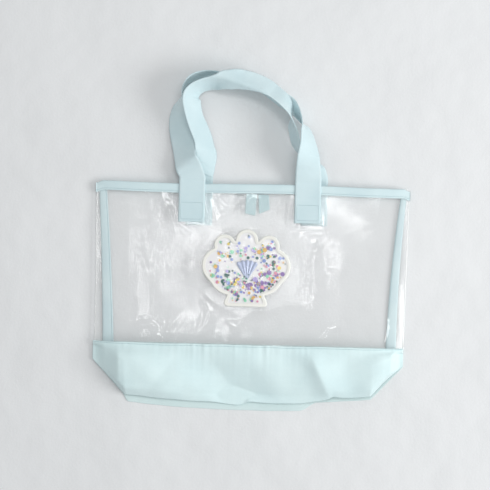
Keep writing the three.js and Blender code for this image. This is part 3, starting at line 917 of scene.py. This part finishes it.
def edge_threads(rows):
    """Stitching rows near both edges, on both faces of a strap."""
    found = []
    inset = 2.4 / STRAP_WIDTH * (ACROSS - 1)
    for position in (inset, ACROSS - 1 - inset):
        low = int(position)
        for face in (1, -1):
            row = []
            for a, b in zip(rows, rows[1:]):
                for t in (0, 0.34, 0.67):
                    p = a[low][0].lerp(a[low + 1][0], position - low)
                    q = b[low][0].lerp(b[low + 1][0], position - low)
                    up = a[low][1].lerp(b[low][1], t) * face
                    row.append((p.lerp(q, t) + up * ON_STRAP, up))
            found.append(row)
    return found


def box_thread(x, length, sewn_height, face):
    """The stitched box that holds one sewn end, on the strap's visible face."""
    inner = STRAP_WIDTH / 2 - 3.2
    top_y, low_y = -28, -length + 4
    corners = [(x - inner, top_y), (x + inner, top_y), (x + inner, low_y), (x - inner, low_y),
               (x - inner, top_y)]
    return row_between([(a, b, sewn_height(a, b) + face * ON_STRAP) for a, b in corners], (0, 0, face))


def make_handle(name, stations, lengths, sewn_height, face):
    """One handle: its strap with both sewn ends, and its stitching. face is 1 if the boxes are sewn on
    its upper side, and -1 for its lower side."""
    nodes = (name, name + "_tab_left", name + "_tab_right")
    middles = [middle_of(node) for node in nodes[1:]]
    rows = strap_rows(stations, middles, lengths, sewn_height)
    points, faces, uvs = wrap(rows)
    strap = make_object(name + "_strap", points, faces, STRAP_CLOTH, uvs)
    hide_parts(*nodes)
    seam = sew(name + "_thread", edge_threads(rows), THREAD, length=2.8, gap=1.6, width=0.5,
               rides=False)
    for piece in (strap, seam):
        place((0, 0, 0))
        place((0, BEND_LENGTH, 0))
        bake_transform(piece)
    boxes = [box_thread(x, length, sewn_height, face) for x, length in zip(middles, lengths)]
    sew(name + "_box_thread", boxes, DARK_THREAD, length=1.9, gap=2.2, width=0.55)


tab_over_left = height_over("front_handle_tab_left")
tab_over_right = height_over("front_handle_tab_right")


def front_sewn_height(x, y):
    """Height of a front sewn end's middle layer, which lies on the rim and the front panel."""
    over = tab_over_left if x < 0 else tab_over_right
    return over(x, min(y, 0)) - STRAP_THICK / 2


# The back handle's sewn ends lie flat on the table.
make_handle("front_handle", FRONT_HANDLE, FRONT_SEWN, front_sewn_height, face=1)
make_handle("back_handle", BACK_HANDLE, BACK_SEWN, lambda x, y: BACK_STRAP_Z, face=-1)


# ---------- the closure ribbons


def make_closure_tab(node, body, slant, pulled):
    """A short ribbon under the rim. It slants to one side, droops, and its right corner is pulled up."""
    low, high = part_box(node)
    left, right = low.x * 1000, high.x * 1000
    foot, head = (low.y - MOUTH) * 1000, (high.y - MOUTH) * 1000

    def surface(s, depth):
        x = lerp(left, right, s) + slant * depth
        y = lerp(head, foot, depth) + pulled * s * depth ** 2
        droop = 0.4 * sin(pi * depth)
        curl = 0.175 * cos(2 * pi * s) * (1 - depth)
        return (x, y, high.z * 1000 + droop + curl)

    tab = make_sheet(node, sheet_rows(surface, 12, 24, start=0), RIBBON, "fabric", 0.9, body)


make_closure_tab("front_closure_tab", "front_closure", slant=-1.5, pulled=-3)
make_closure_tab("back_closure_tab", "back_closure", slant=2.0, pulled=7)


# ---------- the shaker patch
# A raised white border sealed round a clear window, with loose confetti and a pleated fan inside.
# The right half of its outline is the CAD's row of arcs, from the top round to the foot, with the patch's
# middle as the origin: centre x, y, radius, and the first and last angle in degrees.
PATCH_ARCS = [
    (0, 39.5, 16, 90, -4),
    (31.5, 32, 15.5, 153, -17),
    (37.5, 3, 26, 70, -38),
    (22, -8, 31, -30, -82),
    (25.5, -49.5, 5.5, 15, -90),
]
BORDER_WIDTH = 5.0
BORDER_GROOVE = 3.6  # inset of the heat-sealed groove
backing_over = height_over("patch_backing")


@functools.lru_cache(maxsize=None)
def patch_polygon(inset):
    """The outline moved inwards, without the points that this brings too near another part of it."""
    half = []
    for x, y, radius, first, last in PATCH_ARCS:
        for degrees in spread(first, last, 14):
            angle = radians(degrees)
            half.append(Vector((x + radius * cos(angle), y + radius * sin(angle))))
    corners = [Vector((-p.x, p.y)) for p in half[1:]] + half[::-1]
    points = []
    for a, b in zip(corners, corners[1:] + corners[:1]):
        steps = max(1, round((b - a).length / 1.5))
        points += [a.lerp(b, i / steps) for i in range(steps)]
    moved = []
    for i, p in enumerate(points):
        along = (points[(i + 1) % len(points)] - points[i - 1]).normalized()
        moved.append(p + Vector((-along.y, along.x)) * inset)
    return [p for p in moved if all((p - q).length > inset - 0.15 for q in points)]


def reach(angle, inset):
    """Distance from the patch's middle to its inset outline along an angle."""
    ray = Vector((cos(angle), sin(angle)))
    polygon = patch_polygon(inset)
    best = 0.0
    for a, b in zip(polygon, polygon[1:] + polygon[:1]):
        edge = b - a
        across = ray.x * edge.y - ray.y * edge.x
        if abs(across) < 1e-9:
            continue
        along_ray = (a.x * edge.y - a.y * edge.x) / across
        along_edge = (a.x * ray.y - a.y * ray.x) / across
        if along_ray > 0 and -1e-6 <= along_edge <= 1 + 1e-6:
            best = max(best, along_ray)
    return best


def outline(inset, steps=360):
    """Points of the inset outline, one for each of many evenly spaced angles."""
    angles = [2 * pi * i / steps for i in range(steps)]
    reaches = [reach(angle, inset) for angle in angles]
    return [(r * cos(a), r * sin(a)) for r, a in zip(reaches, angles)]


def on_front(x, y):
    """Height of the front panel's upper face."""
    return front_under(x, y) + 0.5


def on_patch(x, y, lift):
    """A point over the front panel, from its place on the patch and its lift."""
    at = (PATCH_X + x, PATCH_Y + y)
    return (at[0], at[1], on_front(*at) + lift)


def patch_piece(node, profile, material, slot, caps=(), smooth_shading=True):
    """A piece that follows the outline in rings, each from (inset, share of its size, lift). caps names the
    rings that a flat face closes, the first downwards and the last upwards."""
    points = []
    for inset, share, lift in profile:
        points += [on_patch(x * share, y * share, lift) for x, y in outline(inset)]
    count = len(points) // len(profile)
    faces = grid_faces(len(profile), count, closed=True)
    if "last" in caps:
        faces.append(tuple(len(points) - count + k for k in range(count)))
    if "first" in caps:
        faces.append(tuple(reversed(range(count))))
    piece = make_object(node + "_visual", points, faces, material, smooth_shading=smooth_shading)
    belongs(piece, "bag", slot, node)


def make_border():
    """The raised border, with a heat-sealed groove near its inner edge."""
    section_points = [
        (0.4, 0.5), (0, 0.9), (0.3, 1.5), (1.0, 2.0), (2.0, 2.15), (3.0, 2.0), (BORDER_GROOVE, 1.8),
        (4.2, 2.0), (BORDER_WIDTH, 1.8), (BORDER_WIDTH, 1.15), (3.0, 1.1), (0.4, 0.5),
    ]
    rings = [(inset, 1, lift) for inset, lift in section_points]
    patch_piece("patch_border", rings, CREAM, "patch_white")


def make_backing():
    """The pearly sheet behind the confetti."""
    rings = [(0.3, 1, 0.25), (0.3, 1, 1.0), (0.3, 0.5, 1.05)]
    patch_piece("patch_backing", rings, PEARL, "patch_white", caps=("first", "last"), smooth_shading=False)


def make_window():
    """The clear window, slightly domed."""
    dome = [(1.0, 2.0), (0.97, 2.5), (0.9, 3.2), (0.75, 3.7), (0.5, 3.9), (0.25, 3.9)]
    rings = [(BORDER_WIDTH - 0.7, share, lift) for share, lift in dome]
    patch_piece("patch_window", rings, WINDOW, "clear_vinyl", caps=("last",))


def sew_patch():
    """The stitching in the border's groove."""
    line = outline(BORDER_GROOVE, 720)
    row = [(on_patch(x, y, 1.85), UP) for x, y in line + line[:1]]
    sew("patch_thread", [row], CREAM, length=1.8, gap=1.0, width=0.45)


FAN_X = middle_of("fan_charm")
FAN_FOOT_Y = (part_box("fan_charm")[0].y - MOUTH) * 1000
FAN_HEIGHT = (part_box("fan_charm")[1].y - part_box("fan_charm")[0].y) * 1000
FAN_HALF_SPREAD = radians(33)
FAN_SLIDE = 2.0  # how far the charm's joint moves it each way
PLEATS = 5
STEPS_IN_PLEAT = 8


def make_charm():
    """A pleated fan: sharp folds run from the foot to the scalloped edge."""
    base = backing_over(FAN_X, FAN_FOOT_Y + FAN_HEIGHT / 2) + 0.35
    first, last = pi / 2 - FAN_HALF_SPREAD, pi / 2 + FAN_HALF_SPREAD
    angles = spread(first, last, PLEATS * STEPS_IN_PLEAT)
    shares = spread(0.05, 1, 20)
    rows = []
    for i, angle in enumerate(angles):
        row = []
        phase = (i % STEPS_IN_PLEAT) / STEPS_IN_PLEAT
        pleat = 1 - abs(2 * phase - 1)
        for s in shares:
            length = FAN_HEIGHT * (0.93 + 0.07 * sin(pi * phase)) * s
            x = FAN_X + length * cos(angle)
            y = FAN_FOOT_Y + length * sin(angle)
            row.append((x, y, base + 0.3 + 1.3 * pleat * s ** 0.7))
        rows.append(row)
    make_sheet("fan_charm", rows, CHARM, "charm", 0.5, body="charm", rounded=False)


def near_fan(x, y, margin):
    """Whether a place lies within a margin of where the fan can slide to."""
    across = max(abs(x - FAN_X) - FAN_SLIDE, 0)
    up = y - FAN_FOOT_Y
    beside = across * cos(FAN_HALF_SPREAD) - up * sin(FAN_HALF_SPREAD)
    return up > -margin and beside < margin and hypot(across, up) < FAN_HEIGHT + margin


# How common each colour, kind and radius of the loose flakes is.
COLOUR_SHARES = dict(zip(CONFETTI, (6, 4, 4, 3, 5, 3, 3, 2)))
KIND_SHARES = {"dot": 6, "hexagon": 3, "flower": 1}
RADIUS_SHARES = {0.9: 6, 1.2: 6, 1.6: 4, 2.1: 3, 2.7: 2, 3.4: 1}
FLAKE_COUNT = 330
OVER_FAN = 3.1  # lift of a flake that lies over the fan's foot


def flake_outline(kind, radius):
    """Points of a flake: a round dot, a hexagon, or a small five-petalled flower."""
    steps = {"dot": 14, "hexagon": 6, "flower": 30}[kind]
    points = []
    for angle in spread(0, 2 * pi, steps)[:-1]:
        r = radius * (0.78 + 0.3 * cos(5 * angle)) if kind == "flower" else radius
        points.append((r * cos(angle), r * sin(angle)))
    return points


def pick(rng, shares):
    """One of the keys of shares, each as common as its value says."""
    return rng.choices(list(shares), list(shares.values()))[0]


def make_confetti():
    """Loose flakes over the backing: fine ones everywhere, denser towards the foot and the right."""
    rng = random.Random(7)
    flakes = {name: ([], []) for name in CONFETTI}
    placed = 0
    while placed < FLAKE_COUNT:
        angle = rng.uniform(0, 2 * pi)
        far = sqrt(rng.random()) * (reach(angle, BORDER_WIDTH + 1.6))
        x, y = far * cos(angle), far * sin(angle)
        crowding = 0.25 + 0.55 * smooth((5 - y) / 40) + 0.3 * smooth((x + 5) / 40)
        if rng.random() > crowding:
            continue
        points, faces = flakes[pick(rng, COLOUR_SHARES)]
        kind = pick(rng, KIND_SHARES)
        radius = pick(rng, RADIUS_SHARES)
        over_fan = near_fan(PATCH_X + x, PATCH_Y + y, radius + 0.4)
        if over_fan and (PATCH_Y + y > FAN_FOOT_Y + 0.3 * FAN_HEIGHT or radius > 2):
            continue
        turn = Matrix.Rotation(rng.uniform(0, 6.28), 3, "Z")
        tilt = Matrix.Rotation(rng.uniform(-0.12, 0.12), 3, rng.choice(("X", "Y")))
        layer = rng.randrange(5)
        at = Vector(on_patch(x, y, OVER_FAN if over_fan else 1.25 + 0.28 * layer))
        rim = flake_outline(kind, radius)
        faces += tube_faces(2, len(rim), len(points), turned_end=0)
        for z in (0, 0.22):
            points += [at + tilt @ (turn @ Vector((px, py, z))) for px, py in rim]
        placed += 1
    for name, (points, faces) in flakes.items():
        heap = make_object("confetti_" + name, points, faces, CONFETTI[name], smooth_shading=False)
        belongs(heap, "bag", "confetti_" + name)


def colour_sequins():
    """The CAD's larger flakes keep their shapes, and take the colours in turn."""
    colours = list(CONFETTI.values())
    for i, node in enumerate(sorted(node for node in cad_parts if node.startswith("sequin_"))):
        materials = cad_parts[node].data.materials
        materials.clear()
        materials.append(colours[i % len(colours)])


make_border()
make_backing()
make_window()
sew_patch()
make_charm()
make_confetti()
colour_sequins()


# ---------- floor, light and camera


def make_floor():
    """A wide plane just under the bag."""
    reach_out, level = 2500, -0.3
    corners = [(x * reach_out, y * reach_out, level) for x, y in ((-1, -1), (1, -1), (1, 1), (-1, 1))]
    make_object("floor", corners, [(0, 1, 2, 3)], FLOOR)


def area_light(name, location, size, power):
    """A flat white lamp that faces the bag."""
    target = place((0, -80, 0))
    lamp = bpy.data.lights.new(name, "AREA")
    lamp.shape = "RECTANGLE"
    lamp.size, lamp.size_y = size
    lamp.energy = power
    holder = bpy.data.objects.new(name, lamp)
    holder.location = location
    holder.rotation_euler = (target - Vector(location)).to_track_quat("-Z", "Y").to_euler()
    bpy.context.scene.collection.objects.link(holder)


def make_lights():
    """A wide soft window on the right, and panels above that put sheen on the vinyl and its creases."""
    area_light("window", (2.2, -0.35, 1.35), (1.5, 1.2), 37)
    ceiling = 1.9
    area_light("right_panel", (0.156, 0.088, ceiling), (0.06, 0.2), 0.38)
    area_light("left_panel", (-0.092, -0.019, ceiling), (0.07, 0.18), 0.5)
    area_light("far_panel", (-0.171, 0.221, ceiling), (0.14, 0.1), 0.6)
    area_light("crease_panel_far", (0.25, 0.6, ceiling), (0.8, 0.4), 7)
    area_light("crease_panel_left", (-0.5, 0.02, ceiling), (0.2, 0.14), 0.4)
    world = bpy.data.worlds.new("sky")
    world.use_nodes = True
    sky = world.node_tree.nodes["Background"]
    sky.inputs["Color"].default_value = (0.985, 0.99, 1.0, 1)
    sky.inputs["Strength"].default_value = 0.50
    bpy.context.scene.world = world


def make_camera():
    """Straight above the bag, turned by a degree and a half."""
    height = 2.4
    view_width = 0.7056
    lens = bpy.data.cameras.new("camera")
    lens.sensor_width = 36
    lens.lens = 36 * height / view_width
    camera = bpy.data.objects.new("camera", lens)
    camera.location = place((-9.7, -87, height * 1000))
    camera.rotation_euler = (0, 0, radians(1.5))
    bpy.context.scene.collection.objects.link(camera)
    bpy.context.scene.camera = camera


make_floor()
make_lights()
make_camera()
bpy.context.scene.view_settings.view_transform = "Standard"
